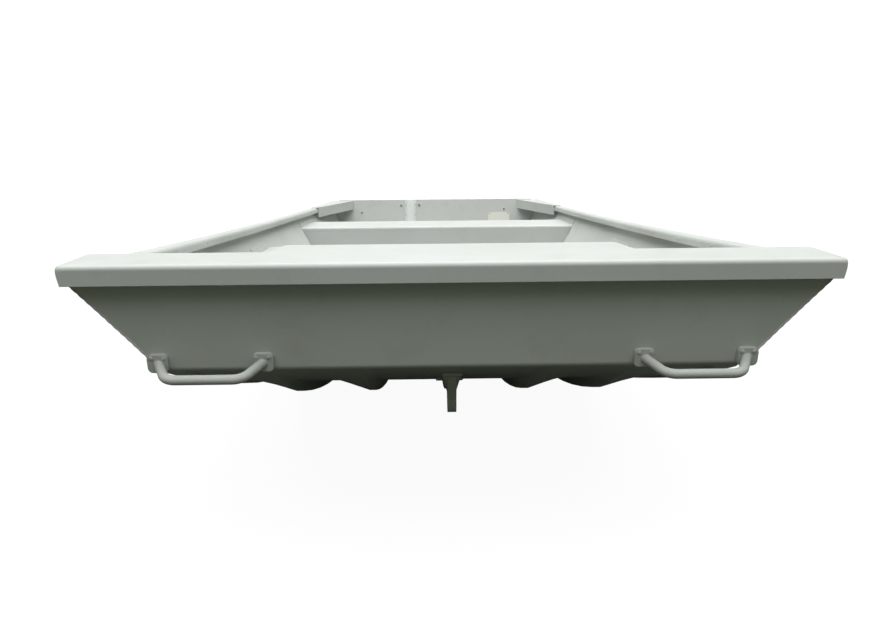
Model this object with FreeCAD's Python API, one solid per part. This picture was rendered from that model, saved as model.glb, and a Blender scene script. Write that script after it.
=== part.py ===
import FreeCAD, Part
import math
import os

# Flat-bottomed aluminium jon boat with a square bow, three benches and a short bow deck.
# Millimetres. +Z is up, +Y runs aft, +X is the port side. While the pieces are made, y = 0 is
# the front edge of the bow deck and z = 0 the floor under the strakes; at the end the whole
# boat is moved along y so that the origin is at the middle of its outline, on the floor.

V = FreeCAD.Vector

# Hull, overall
LENGTH = 3580.0                 # bow deck's front edge to the top of the transom
BEAM_BOW = 1170.0               # over the gunwales at the bow deck
BEAM_MAX = 1364.0               # over the gunwales, widest
BEAM_STERN = 1240.0             # over the gunwales at the transom
BEAM_MAX_AT = 1900.0            # distance of the widest point from the bow
BOTTOM_WIDTH = 914.0            # between the chine corners
BOW_HEIGHT = 515.0              # top of the bow deck above the floor
SHEER_DROP = 122.6              # how much lower the gunwale is at the stern
SHEET = 2.0                     # hull and bench sheet
FIT = 0.3                       # clearance between pieces that lap on curved faces

# Bottom sheet and its pressed strakes
RAKE_START = 45.0               # lower edge of the bow plate
RAKE_END = 1645.0               # where the bottom becomes level
RAKE_RISE = 323.0               # how far the bottom climbs to the bow plate
STRAKE_DEPTH = 22.0
STRAKE_CENTRES = (158.0, 308.0)
STRAKE_FLAT = 12.0              # width of the strake's lowest strip
STRAKE_STEEP = 12.0             # width of its inboard flank
STRAKE_SLOPE = 58.0             # width of its outboard flank
STRAKE_FADE = (85.0, 440.0)     # along the boat, from no depth to full depth
STRAKE_RUNOUT = 130.0           # length over which it fades before the transom
STRAKE_STERN_GAP = 20.0
BOTTOM_EDGE_GAP = 2.7           # bottom sheet's edge inside the chine corner

# Chine mouldings and centre keel
CHINE_LEG = 34.0
CHINE_WALL = 3.0
CHINE_START_GAP = 2.0           # behind the bow plate's flange
KEEL_BASE = 52.0
KEEL_BASE_WALL = 3.0
KEEL_WEB = 20.0
KEEL_TAPER = 2.0                # each side of the web, down to its foot
KEEL_START = 330.0
KEEL_RISE = 160.0               # length over which it reaches its full depth
KEEL_STERN_GAP = 60.0

# Gunwale extrusions
RAIL_HEIGHT = 24.0
RAIL_OUTBOARD = 7.0             # beyond the side sheet
RAIL_INBOARD = 31.0
RAIL_ROUND = 11.0
RAIL_FOOT_ROUND = 3.0
RAIL_LIP = 2.5                  # wall of its two flanges
RAIL_INNER_LIP = 20.0
RAIL_OUTER_LIP = 9.0
SHEET_SEAT = 1.4                # side sheet's edge below the extrusion

# Bow plate and bow deck
PLATE_TOP_AT = 18.0             # bow plate's upper edge, aft of the deck's front edge
PLATE_BEND = 9.0
PLATE_LAP = 30.0                # flange under the bottom sheet
DECK_WALL = 2.5
DECK_FASCIA = 31.0
DECK_ROUND = 8.0
DECK_SIDE_DEPTH = 145.0
DECK_MIDDLE_DEPTH = 241.0
DECK_MIDDLE_HALF = 296.0        # half width of the deeper part at its aft edge
DECK_CORNER_RUN = 10.0          # how much wider it is where it leaves the shallower part
DECK_HEM = 16.0
DECK_SKIRT_FROM = 9.0           # below its top, where the side skirts turn in
DECK_SKIRT_FLARE = 0.29         # inboard for each millimetre down
DECK_CORNER_ROUND = 9.0
DECK_HEM_GAP = 6.0              # hem kept clear of the gunwales

# Transom
TRANSOM_RAKE = 80.0
TRANSOM_TOP = 389.3             # above the floor
TRANSOM_SKIN = 2.5
TRANSOM_CORE = 30.0
TRANSOM_BEND = 1.0
TRANSOM_NOTCH = 3.0             # room round the gunwales' ends
CLAMP_PLATE = (220.0, 230.0, 4.0)
CLAMP_PLATE_DROP = 34.0         # below the transom's top
CLAMP_PLATE_ROUND = 12.0
STIFFENER_AT = -150.0
STIFFENER_CROWN = 42.0
STIFFENER_DEPTH = 16.0
STIFFENER_FOOT = 12.0
STIFFENER_WALL = 2.0
STIFFENER_BEND = 3.0
KNEE_SIDE = 620.0               # knee's reach forward along the gunwale
KNEE_TRANSOM = 124.0            # and inboard along the transom
KNEE_WALL = 2.5
KNEE_FLANGE = 50.0
STERN_PIECES_FROM = 2850.0      # ahead of everything that the transom carries
KNEE_LIP_START = 16.0           # flange kept clear of the gunwale
KNEE_LIP_END = 2.0              # and of the transom panel
LABEL_SIZE = (127.0, 90.0, 1.2)
LABEL_ACROSS = 378.0
LABEL_DOWN = 78.0               # its upper edge below the transom's top
DRAIN_ACROSS = 60.0
DRAIN_UP = 42.0                 # axis above the underside of the bottom
DRAIN_BORE = 25.4
DRAIN_WALL = 2.0
DRAIN_FLANGE = 44.0
DRAIN_FLANGE_WALL = 3.0
DRAIN_INNER_END = 6.0           # tube's end beyond the panel's face

# Benches: the front edge of each from the bow, top above the floor
BENCH_FRONTS = {"bench_front": 640.0, "bench_middle": 1450.0, "bench_aft": 2500.0}
BENCH_TOP = 334.0
BENCH_DEPTH = 310.0
BENCH_ROUND = 10.0
BENCH_TAB_HEIGHT = 26.0         # turned-up end flanges
BENCH_TAB_WALL = 3.0
BENCH_TAB_GAP = 2.5             # below the gunwale's inner flange
BENCH_TAB_END = 14.0            # flange kept back from the bench's edges

# Cross frames: a floor rib with a side rib above each end
FRAME_STATIONS = (1200.0, 2130.0, 3130.0)
RIB_CROWN = 32.0
RIB_DEPTH = 22.0
RIB_FOOT = 14.0
RIB_WALL = 2.0
RIB_BEND = 3.0
SIDE_RIB_DEPTH = 12.0
SIDE_RIB_GAP = 8.0              # above the floor rib
SIDE_RIB_TOP = 285.0            # above the floor

# Outer side beads
BEAD_DROP = 150.0               # below the side sheet's upper edge
BEAD_WIDTH = 26.0
BEAD_CREST = 12.0
BEAD_DEPTH = 7.0
BEAD_ENDS = (150.0, 3460.0)

# Bow handles
HANDLE_AT = 377.0               # centre, off the middle line
HANDLE_UP = 15.0                # feet above the bow plate's lower edge
HANDLE_FOOT_SPAN = 162.0        # between the feet's centres
HANDLE_BAR_SPAN = 114.0         # between the bar's bends
HANDLE_REACH = 52.0
HANDLE_SAG = 7.0                # bar's centre below the feet
HANDLE_BAR = 15.0
HANDLE_BEND = 24.0
HANDLE_FOOT = (32.0, 30.0, 8.0)
HANDLE_FOOT_ROUND = 8.0

# Bow eye under the bow
EYE_FRONT = 160.0
EYE_BASE = (150.0, 34.0, 5.0)   # length, width and wall of its base
EYE_TOE = 22.0                  # base ahead of the fin
EYE_DEPTH = 66.0
EYE_WALL = 16.0
EYE_ROOT = (32.0, 28.0)         # its width at the base, and the depth where that has eased
EYE_ROUND = 21.0
EYE_BORE = 19.0

HALF_BOTTOM = BOTTOM_WIDTH / 2
RAKE_PANELS = 13                # flat steps that the curves are made of
LEVEL_PANELS = 10
WIDE = 900.0                    # reach of the tools that trim the pieces
FAR_ABOVE = 900.0               # their height


# ---------------------------------------------------------------- lines of the hull

def spread(start, end, count):
    return [start + (end - start) * i / (count - 1) for i in range(count)]


STATIONS = [-60.0] + spread(RAKE_START, RAKE_END, RAKE_PANELS + 1)
STATIONS += spread(RAKE_END, LENGTH + 100.0, LEVEL_PANELS + 1)[1:]


def near(front, back):
    """Stations that a piece between front and back needs, one beyond each end."""
    before = [y for y in STATIONS if y < front]
    within = [y for y in STATIONS if front <= y <= back]
    after = [y for y in STATIONS if y > back]
    return before[-1:] + within + after[:1]


def along_stations(curve, y):
    """Value of a curve, straight between the stations."""
    for a, b in zip(STATIONS, STATIONS[1:]):
        if y <= b:
            break
    return curve(a) + (curve(b) - curve(a)) * (y - a) / (b - a)


def rake_curve(y):
    run = max(RAKE_END - y, 0.0) / (RAKE_END - RAKE_START)
    return STRAKE_DEPTH + RAKE_RISE * run ** 2


def sheer_curve(y):
    return BOW_HEIGHT - SHEER_DROP * (1 - (1 - y / LENGTH) ** 2)


def beam_curve(y):
    if y < BEAM_MAX_AT:
        end = BEAM_BOW
        run = (BEAM_MAX_AT - y) / BEAM_MAX_AT
    else:
        end = BEAM_STERN
        run = (y - BEAM_MAX_AT) / (LENGTH - BEAM_MAX_AT)
    return (BEAM_MAX - (BEAM_MAX - end) * run ** 2) / 2


def pan_z(y):
    """Underside of the bottom sheet."""
    return along_stations(rake_curve, y)


def pan_slope(start, end):
    return (pan_z(end) - pan_z(start)) / (end - start)


def sheer_z(y):
    """Line that falls from the bow deck's height, a deck sheet above the gunwale."""
    return along_stations(sheer_curve, y)


def half_beam(y):
    """Half width over the gunwales."""
    return along_stations(beam_curve, y)


def rail_seat(y):
    """Where the outer face of the side sheet meets the gunwale's underside."""
    x = half_beam(y) - DECK_WALL - FIT - RAIL_OUTBOARD
    z = sheer_z(y) - DECK_WALL - FIT - RAIL_HEIGHT
    return x, z


def side_frame(y):
    """Foot of the side's outer face, its length, and its unit vectors up and inboard."""
    x, z = rail_seat(y)
    rise = z - SHEET_SEAT - pan_z(y)
    flare = x - HALF_BOTTOM
    length = math.hypot(flare, rise)
    up = (flare / length, rise / length)
    inboard = (-up[1], up[0])
    return (HALF_BOTTOM, pan_z(y)), length, up, inboard


def on_side(y, along, inset):
    """Point on the port side, along the sheet from its foot and inset from its outer face."""
    foot, length, up, inboard = side_frame(y)
    return (foot[0] + up[0] * along + inboard[0] * inset,
            foot[1] + up[1] * along + inboard[1] * inset)


def side_length(y):
    return side_frame(y)[1]


def along_at_height(y, z, inset):
    """How far along the side sheet a height z is, on the face that is inset."""
    foot, length, up, inboard = side_frame(y)
    return (z - foot[1] - inboard[1] * inset) / up[1]


def plate_top_z():
    """Upper edge of the bow plate, close under the deck."""
    return BOW_HEIGHT - DECK_WALL - 2 * FIT


def plate_foot_z():
    """Outer corner of the bow plate's bend, below the bottom sheet."""
    return pan_z(RAKE_START) - SHEET - 2 * FIT


def bow_plate_y(z):
    """Front face of the bow plate."""
    share = (plate_top_z() - z) / (plate_top_z() - plate_foot_z())
    return PLATE_TOP_AT + (RAKE_START - PLATE_TOP_AT) * share


def transom_y(z):
    """Outer face of the transom."""
    share = (TRANSOM_TOP - z) / (TRANSOM_TOP - STRAKE_DEPTH)
    return LENGTH - TRANSOM_RAKE * share


def transom_vectors():
    """Unit vectors up the transom and forward, square to it, as (y, z)."""
    rise = TRANSOM_TOP - STRAKE_DEPTH
    length = math.hypot(TRANSOM_RAKE, rise)
    return (TRANSOM_RAKE / length, rise / length), (-rise / length, TRANSOM_RAKE / length)


# ---------------------------------------------------------------- shape helpers

def face_of(points):
    wire = Part.makePolygon(points + [points[0]])
    return Part.Face(wire)


def loft(wires):
    """Solid through closed wires, straight between each and the next."""
    solid = Part.makeLoft(wires, True, True, False)
    if solid.Volume < 0:
        solid.reverse()
    return solid


def loft_sections(section, ys):
    """Solid through the closed outline that section(y) gives as (x, z) points."""
    wires = []
    for y in ys:
        points = [V(x, y, z) for x, z in section(y)]
        wires.append(Part.makePolygon(points + [points[0]]))
    return loft(wires)


def left_normals(points):
    normals = []
    for a, b in zip(points, points[1:]):
        length = math.hypot(b[0] - a[0], b[1] - a[1])
        normals.append(((a[1] - b[1]) / length, (b[0] - a[0]) / length))
    return normals


def offset_line(points, distance):
    """Open outline moved square to itself, to its left, with mitred corners."""
    normals = left_normals(points)
    moved = []
    for i, p in enumerate(points):
        n1 = normals[max(i - 1, 0)]
        n2 = normals[min(i, len(normals) - 1)]
        scale = distance / (1 + n1[0] * n2[0] + n1[1] * n2[1])
        moved.append((p[0] + (n1[0] + n2[0]) * scale, p[1] + (n1[1] + n2[1]) * scale))
    return moved


def bent_lane(points, lane, wall, radius, place):
    """Edges of one face of a folded sheet, lane to the left of its outline, and their ends.

    radius is the inner radius of each bend, and place turns an outline point into a vector.
    """
    normals = left_normals(points)
    first = points[0]
    start = (first[0] + normals[0][0] * lane, first[1] + normals[0][1] * lane)
    edges = []
    at = start
    for i in range(1, len(points) - 1):
        n1 = normals[i - 1]
        n2 = normals[i]
        left_turn = n1[0] * n2[1] - n1[1] * n2[0] > 0
        centre = wall + radius if left_turn else -radius
        scale = centre / (1 + n1[0] * n2[0] + n1[1] * n2[1])
        cx = points[i][0] + (n1[0] + n2[0]) * scale
        cy = points[i][1] + (n1[1] + n2[1]) * scale
        reach = lane - centre
        half = math.hypot(n1[0] + n2[0], n1[1] + n2[1])
        enter = (cx + n1[0] * reach, cy + n1[1] * reach)
        middle = (cx + (n1[0] + n2[0]) / half * reach, cy + (n1[1] + n2[1]) / half * reach)
        leave = (cx + n2[0] * reach, cy + n2[1] * reach)
        edges.append(Part.makeLine(place(at), place(enter)))
        edges.append(Part.Arc(place(enter), place(middle), place(leave)).toShape())
        at = leave
    last = points[-1]
    end = (last[0] + normals[-1][0] * lane, last[1] + normals[-1][1] * lane)
    edges.append(Part.makeLine(place(at), place(end)))
    return edges, start, end


def closed_face(edges):
    return Part.Face(Part.Wire(Part.__sortEdges__(edges)))


def bent_sheet(points, wall, radius, place):
    """Face of a folded sheet: an open outline thickened to its left, with round bends."""
    outer, outer_start, outer_end = bent_lane(points, 0.0, wall, radius, place)
    inner, inner_start, inner_end = bent_lane(points, wall, wall, radius, place)
    caps = [Part.makeLine(place(outer_start), place(inner_start)),
            Part.makeLine(place(outer_end), place(inner_end))]
    return closed_face(outer + inner + caps)


def sheet_across(points, wall, radius, half_width):
    """Folded sheet whose outline is (y, z) points, run across the boat."""
    face = bent_sheet(points, wall, radius, lambda p: V(-half_width, p[0], p[1]))
    return face.extrude(V(2 * half_width, 0, 0))


def block(x0, x1, y0, y1, z0, z1):
    return Part.makeBox(x1 - x0, y1 - y0, z1 - z0, V(x0, y0, z0))


def round_edges(shape, radius, wanted):
    return shape.makeFillet(radius, [edge for edge in shape.Edges if wanted(edge)])


def runs_along(edge, direction):
    run = edge.Vertexes[-1].Point - edge.Vertexes[0].Point
    return run.Length > 0 and abs(run.dot(direction)) > 0.999 * run.Length


def starboard_of(shape):
    return shape.mirror(V(0, 0, 0), V(1, 0, 0))


def main_solid(shape):
    """The largest solid of a shape that was cut."""
    return max(shape.Solids, key=lambda solid: solid.Volume)


def plate_path(top, reach):
    """Outline of the bow plate's front face: top, bend, and a flange aft under the bottom."""
    foot = (RAKE_START, plate_foot_z())
    slope = pan_slope(RAKE_START, RAKE_START + PLATE_LAP)
    return [(bow_plate_y(top), top), foot, (foot[0] + reach, foot[1] + slope * reach)]


def hull_length(front_gap, back_gap):
    """Block over the beam, from behind the bow plate to before the transom's outer face."""
    points = plate_path(FAR_ABOVE, PLATE_LAP)
    edges, start, end = bent_lane(points, SHEET + front_gap, SHEET, PLATE_BEND,
                                  lambda p: V(-WIDE, p[0], p[1]))
    corners = [end, (end[0], -WIDE), (transom_y(-WIDE) - back_gap, -WIDE),
               (transom_y(FAR_ABOVE) - back_gap, FAR_ABOVE), start]
    for a, b in zip(corners, corners[1:]):
        edges.append(Part.makeLine(V(-WIDE, a[0], a[1]), V(-WIDE, b[0], b[1])))
    return closed_face(edges).extrude(V(2 * WIDE, 0, 0))


def envelope(inset, lower=0.0, higher=0.0, ys=None):
    """Room between the sides and over the bottom, at an inset from their outer faces.

    lower and higher lengthen it below the bottom and above the sides, in line with the sides.
    """
    def section(y):
        foot = on_side(y, along_at_height(y, pan_z(y) + inset - lower, inset), inset)
        head = on_side(y, side_length(y) + higher, inset)
        return [(-foot[0], foot[1]), foot, head, (-head[0], head[1])]
    return loft_sections(section, ys or STATIONS)


def side_strip(ys, low, high, inset, wall):
    """Bar along the port side: low(y) to high(y) up the sheet, inset from its outer face."""
    def section(y):
        return [on_side(y, low(y), inset), on_side(y, high(y), inset),
                on_side(y, high(y), inset + wall), on_side(y, low(y), inset + wall)]
    return loft_sections(section, ys)


# ---------------------------------------------------------------- hull sheets

def strake_depth(y):
    """Depth of the pressed strakes, eased in at the bow and out before the transom."""
    start, full = STRAKE_FADE
    rise = min(max((y - start) / (full - start), 0.0), 1.0)
    fall = min(max((strake_stern() - y) / STRAKE_RUNOUT, 0.0), 1.0)
    ease = min(rise, fall)
    return STRAKE_DEPTH * ease * ease * (3 - 2 * ease)


def strake_stern():
    return transom_y(STRAKE_DEPTH) - STRAKE_STERN_GAP


def bottom_underside(y):
    """Port half of the bottom's underside, from the middle out."""
    flat = pan_z(y)
    low = flat - strake_depth(y)
    points = []
    for centre in STRAKE_CENTRES:
        points.append((centre - STRAKE_FLAT / 2 - STRAKE_STEEP, flat))
        points.append((centre - STRAKE_FLAT / 2, low))
        points.append((centre + STRAKE_FLAT / 2, low))
        points.append((centre + STRAKE_FLAT / 2 + STRAKE_SLOPE, flat))
    points.append((HALF_BOTTOM - BOTTOM_EDGE_GAP, flat))
    return points


def hull_bottom():
    def section(y):
        half = bottom_underside(y)
        under = [(-x, z) for x, z in reversed(half)] + half
        return under + list(reversed(offset_line(under, SHEET)))
    start, full = STRAKE_FADE
    end = strake_stern()
    eased = spread(start, full, 9) + spread(end - STRAKE_RUNOUT, end, 6)
    ys = sorted(set(STATIONS + eased))
    return main_solid(loft_sections(section, ys).common(hull_length(FIT, TRANSOM_SKIN + FIT)))


def hull_side():
    sheet = side_strip(STATIONS, lambda y: 0.0, side_length, 0.0, SHEET)
    return main_solid(sheet.common(hull_length(FIT, TRANSOM_SKIN + FIT)))


def chine():
    """Corner moulding outside the joint of bottom and side."""
    def section(y):
        flat = pan_z(y) - FIT
        low = flat - CHINE_WALL
        outside = -FIT - CHINE_WALL
        return [(HALF_BOTTOM - CHINE_LEG, flat), (HALF_BOTTOM - CHINE_LEG, low),
                on_side(y, along_at_height(y, low, outside), outside),
                on_side(y, CHINE_LEG, outside), on_side(y, CHINE_LEG, -FIT),
                on_side(y, along_at_height(y, flat, -FIT), -FIT)]
    moulding = loft_sections(section, STATIONS)
    start = RAKE_START + PLATE_LAP + CHINE_START_GAP
    ahead = block(-WIDE, WIDE, -WIDE, start, -WIDE, FAR_ABOVE)
    return main_solid(moulding.common(hull_length(-SHEET - FIT, 0.0)).cut(ahead))


def centre_keel():
    """T-shaped extrusion under the bottom, level with the strakes."""
    def section(y):
        flat = pan_z(y) - FIT
        seat = flat - KEEL_BASE_WALL
        ease = min(max((y - KEEL_START) / KEEL_RISE, 0.0), 1.0)
        foot = seat - 1.0 - (STRAKE_DEPTH - FIT - KEEL_BASE_WALL - 1.0) * ease * (2 - ease)
        b = KEEL_BASE / 2
        w = KEEL_WEB / 2
        return [(-b, flat), (-b, seat), (-w, seat), (-w + KEEL_TAPER, foot),
                (w - KEEL_TAPER, foot), (w, seat), (b, seat), (b, flat)]
    end = transom_y(STRAKE_DEPTH) - KEEL_STERN_GAP
    ys = spread(KEEL_START, KEEL_START + KEEL_RISE, 7) + [end]
    ys += [y for y in STATIONS if KEEL_START < y < end]
    return loft_sections(section, sorted(ys))


def gunwale():
    """Round-topped extrusion over the side sheet's edge, with a flange on each side of it."""
    corner = 1 - math.sqrt(0.5)
    r = RAIL_ROUND
    f = RAIL_FOOT_ROUND
    inner = SHEET + FIT
    outer = -FIT - RAIL_LIP

    def wire(y):
        x, z = rail_seat(y)
        left = x - RAIL_INBOARD
        right = x + RAIL_OUTBOARD
        top = z + RAIL_HEIGHT

        def lip(inset, drop):
            return on_side(y, along_at_height(y, z, inset) - drop, inset)
        path = [
            [lip(inner, 0.0)], [lip(inner, RAIL_INNER_LIP)],
            [lip(inner + RAIL_LIP, RAIL_INNER_LIP)], [lip(inner + RAIL_LIP, 0.0)],
            [(left + f, z)],
            [(left + f * corner, z + f * corner), (left, z + f)],
            [(left, top - r)],
            [(left + r * corner, top - r * corner), (left + r, top)],
            [(right - r, top)],
            [(right - r * corner, top - r * corner), (right, top - r)],
            [(right, z + f)],
            [(right - f * corner, z + f * corner), (right - f, z)],
            [lip(outer, 0.0)], [lip(outer, RAIL_OUTER_LIP)],
            [lip(-FIT, RAIL_OUTER_LIP)], [lip(-FIT, 0.0)], [lip(inner, 0.0)],
        ]
        edges = []
        at = path[0][-1]
        for step in path[1:]:
            points = [V(p[0], y, p[1]) for p in [at] + step]
            if len(points) == 3:
                edges.append(Part.Arc(*points).toShape())
            else:
                edges.append(Part.makeLine(*points))
            at = step[-1]
        return Part.Wire(edges)
    rail = loft([wire(y) for y in STATIONS])
    under_deck = below_skirts(DECK_WALL + FIT, DECK_SIDE_DEPTH + FIT)
    under_deck.translate(V(0, 0, BOW_HEIGHT))
    return main_solid(rail.common(hull_length(FIT, TRANSOM_SKIN + FIT)).cut(under_deck))


def side_rail():
    """Shallow moulding along the outside of the side."""
    def section(y):
        middle = side_length(y) - BEAD_DROP
        wide = BEAD_WIDTH / 2
        crest = BEAD_CREST / 2
        return [on_side(y, middle - wide, -FIT), on_side(y, middle + wide, -FIT),
                on_side(y, middle + crest, -FIT - BEAD_DEPTH),
                on_side(y, middle - crest, -FIT - BEAD_DEPTH)]
    start, end = BEAD_ENDS
    ys = [start] + [y for y in STATIONS if start < y < end] + [end]
    return loft_sections(section, ys)


# ---------------------------------------------------------------- bow

def bow_plate():
    """Flat front sheet, bent aft under the bottom sheet's front edge."""
    plate = sheet_across(plate_path(plate_top_z(), PLATE_LAP), SHEET, PLATE_BEND, WIDE)
    between_sides = envelope(0.0, lower=60.0, ys=near(0.0, RAKE_START + PLATE_LAP))
    seat_x, seat_z = rail_seat(PLATE_TOP_AT)
    head_half = seat_x + RAIL_OUTBOARD - RAIL_ROUND
    head = block(-head_half, head_half, 0.0, RAKE_START, seat_z - SHEET_SEAT - 1.0, FAR_ABOVE)
    under_deck = below_skirts(DECK_WALL + FIT, DECK_SIDE_DEPTH)
    under_deck.translate(V(0, 0, BOW_HEIGHT))
    return main_solid(plate.common(between_sides.fuse(head)).cut(under_deck))


def deck_side_x(y):
    """Outer face of the deck's side skirt."""
    widening = (half_beam(DECK_SIDE_DEPTH) - half_beam(0.0)) / DECK_SIDE_DEPTH
    return half_beam(0.0) + widening * y


def below_skirts(wall, end):
    """Room outboard of the skirts' turned-in lower part, at a wall in from their faces."""
    inset = wall * math.hypot(1.0, DECK_SKIRT_FLARE)
    low = 2 * DECK_FASCIA

    def section(y):
        x = deck_side_x(y) - inset
        return [(x, -DECK_SKIRT_FROM), (x + WIDE, -DECK_SKIRT_FROM), (x + WIDE, -low),
                (x - (low - DECK_SKIRT_FROM) * DECK_SKIRT_FLARE, -low)]
    port = loft_sections(section, [-DECK_FASCIA, end])
    return Part.makeCompound([port, starboard_of(port)])


def deck_block(inset, top, bottom, corner, crown):
    """Solid of the deck's plan, inset from its edges, between two heights."""
    half = [(half_beam(0.0) - inset, inset),
            (half_beam(DECK_SIDE_DEPTH) - inset, DECK_SIDE_DEPTH - inset),
            (DECK_MIDDLE_HALF + DECK_CORNER_RUN - inset, DECK_SIDE_DEPTH - inset),
            (DECK_MIDDLE_HALF - inset, DECK_MIDDLE_DEPTH - inset)]
    plan = half + [(-x, y) for x, y in reversed(half)]
    solid = face_of([V(x, y, bottom) for x, y in plan]).extrude(V(0, 0, top - bottom))

    def front_corner(edge):
        return runs_along(edge, V(0, 0, 1)) and edge.CenterOfMass.y < inset + 1.0
    solid = round_edges(solid, corner, front_corner)
    return round_edges(solid, crown, lambda edge: edge.CenterOfMass.z > top - 0.1)


def bow_deck():
    """Pressed cap: flat level top, fascia and side skirts, and a hem along its back edge."""
    outer = deck_block(0.0, 0.0, -DECK_FASCIA, DECK_CORNER_ROUND, DECK_ROUND)
    inner = deck_block(DECK_WALL, -DECK_WALL, -DECK_FASCIA - 1.0,
                       DECK_CORNER_ROUND - DECK_WALL, DECK_ROUND - DECK_WALL)
    room = inner.cut(below_skirts(DECK_WALL, DECK_MIDDLE_DEPTH))
    deck = outer.cut(below_skirts(0.0, DECK_MIDDLE_DEPTH)).cut(room)
    start = DECK_SIDE_DEPTH - DECK_WALL - DECK_ROUND
    end = DECK_MIDDLE_DEPTH + 1.0
    rail_x = rail_seat(DECK_SIDE_DEPTH)[0] - RAIL_INBOARD - DECK_HEM_GAP
    deck = deck.cut(block(-rail_x, rail_x, start, end, -2 * DECK_FASCIA, -DECK_HEM))
    over_rail = sheer_z(DECK_SIDE_DEPTH - DECK_WALL) - DECK_WALL - BOW_HEIGHT
    side_x = deck_side_x(start) - DECK_WALL
    plan = [(rail_x, start), (side_x, start), (deck_side_x(end) - DECK_WALL, end), (rail_x, end)]
    for side in (-1, 1):
        notch = face_of([V(side * x, y, -2 * DECK_FASCIA) for x, y in plan])
        deck = deck.cut(notch.extrude(V(0, 0, 2 * DECK_FASCIA + over_rail)))
    deck = main_solid(deck)
    deck.translate(V(0, 0, BOW_HEIGHT))
    return deck


def plate_vectors():
    """Unit vectors up the bow plate and out from its front face."""
    rise = plate_top_z() - plate_foot_z()
    lean = PLATE_TOP_AT - RAKE_START
    length = math.hypot(rise, lean)
    return V(0, lean / length, rise / length), V(0, -rise / length, lean / length)


def bow_handle():
    """Cast grab handle: a round bar on two feet."""
    up, out = plate_vectors()
    across = V(1, 0, 0)
    z = plate_foot_z() + HANDLE_UP
    origin = V(HANDLE_AT, bow_plate_y(z), z)
    reach = out * HANDLE_REACH - up * HANDLE_SAG
    reach_length = reach.Length
    reach.normalize()

    def place(p):
        return origin + across * p[0] + reach * p[1]
    foot = HANDLE_FOOT_SPAN / 2
    bar = HANDLE_BAR_SPAN / 2
    start_depth = HANDLE_FOOT[2] / 2
    path = [(-foot, start_depth), (-bar, reach_length), (bar, reach_length), (foot, start_depth)]
    edges = bent_lane(path, 0.0, 0.0, HANDLE_BEND, place)[0]
    start = place(path[0])
    heading = place(path[1]) - start
    ring = Part.Wire(Part.makeCircle(HANDLE_BAR / 2, start, heading))
    handle = Part.Wire(edges).makePipeShell([ring], True, True)
    width, height, wall = HANDLE_FOOT
    for side in (-1, 1):
        pad = Part.makeBox(width, height, wall, V(-width / 2, -height / 2, 0))
        pad = round_edges(pad, HANDLE_FOOT_ROUND, lambda edge: runs_along(edge, V(0, 0, 1)))
        centre = origin + across * (side * foot) + out * FIT
        pad.Placement = FreeCAD.Placement(centre, FreeCAD.Rotation(across, up, out, "ZXY"))
        handle = handle.fuse(pad)
    return main_solid(handle.removeSplitter())


def bow_eye():
    """Cast fin under the rake, with a hole for a winch hook and a base against the bottom."""
    length, width, wall = EYE_BASE
    slope = pan_slope(EYE_FRONT, EYE_FRONT + length)
    run = math.hypot(1.0, slope)
    aft = V(0, 1 / run, slope / run)
    down = V(0, slope / run, -1 / run)
    bulges = [pan_z(EYE_FRONT) + slope * (y - EYE_FRONT) - pan_z(y)
              for y in near(EYE_FRONT, EYE_FRONT + length)[1:-1]]
    origin = V(0, EYE_FRONT, pan_z(EYE_FRONT)) + down * (max(bulges + [0.0]) + FIT)

    def place(p, x):
        return origin + aft * p[0] + down * p[1] + V(x, 0, 0)
    foot = [(0.0, 0.0), (length, 0.0), (length - wall, wall), (wall, wall)]
    base = face_of([place(p, -width / 2) for p in foot]).extrude(V(width, 0, 0))
    tip = (length / 2, EYE_DEPTH - EYE_ROUND)
    blade = [(EYE_TOE, wall / 2), (length - EYE_TOE, wall / 2),
             (tip[0] + EYE_ROUND, tip[1]), (tip[0] - EYE_ROUND, tip[1])]
    fin = face_of([place(p, -EYE_WALL / 2) for p in blade]).extrude(V(EYE_WALL, 0, 0))
    centre = place(tip, -EYE_WALL / 2)
    fin = fin.fuse(Part.makeCylinder(EYE_ROUND, EYE_WALL, centre, V(1, 0, 0)))
    root_width, root_depth = EYE_ROOT
    rings = []
    for reach, depth, across in ((length / 2 - EYE_TOE, wall / 2, root_width / 2),
                                 (EYE_ROUND, root_depth, EYE_WALL / 2)):
        corners = [place((length / 2 + s * reach, depth), t * across)
                   for s, t in ((-1, -1), (1, -1), (1, 1), (-1, 1))]
        rings.append(Part.makePolygon(corners + [corners[0]]))
    fin = fin.fuse(loft(rings))
    eye = base.fuse(fin).cut(Part.makeCylinder(EYE_BORE / 2, WIDE, place(tip, -WIDE / 2), V(1, 0, 0)))
    return main_solid(eye.removeSplitter())


# ---------------------------------------------------------------- transom

def transom_place(x, along, forward):
    """Point on the transom: up its outer face from its foot, and forward from that face."""
    up, ahead = transom_vectors()
    foot_y = transom_y(STRAKE_DEPTH)
    return V(x, foot_y + up[0] * along + ahead[0] * forward,
             STRAKE_DEPTH + up[1] * along + ahead[1] * forward)


def transom_length():
    return math.hypot(TRANSOM_RAKE, TRANSOM_TOP - STRAKE_DEPTH)


def drain_hole():
    up, ahead = transom_vectors()
    centre = transom_place(DRAIN_ACROSS, DRAIN_UP, -WIDE / 2)
    return Part.makeCylinder(DRAIN_BORE / 2 + DRAIN_WALL + FIT, WIDE, centre, V(0, ahead[0], ahead[1]))


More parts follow.
